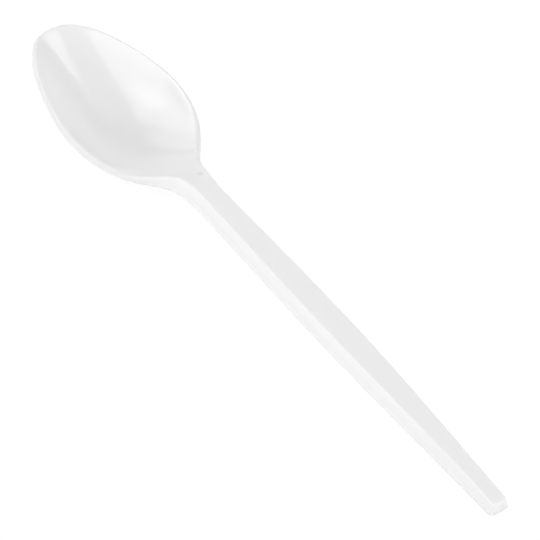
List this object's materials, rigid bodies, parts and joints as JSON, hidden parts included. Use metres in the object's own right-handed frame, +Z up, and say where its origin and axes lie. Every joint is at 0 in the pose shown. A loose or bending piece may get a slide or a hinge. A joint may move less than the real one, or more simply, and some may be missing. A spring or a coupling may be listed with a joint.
{
  "type": "disposable spoon",
  "caption": "White moulded plastic disposable spoon with a pointed oval bowl and a long tapered handle of hollow channel section, lying on its bowl and its handle's end.",
  "frame": {"origin": "middle of the spoon's box at table level", "axes": "+X from the handle's end to the bowl's tip, +Y across the bowl, +Z up from the table"},
  "size_m": [0.1664, 0.0306, 0.0106],
  "materials": {
    "white_plastic": "soft gloss as moulded"
  },
  "bodies": {
    "root": {"spoon": "white_plastic"}
  },
  "joints": []
}
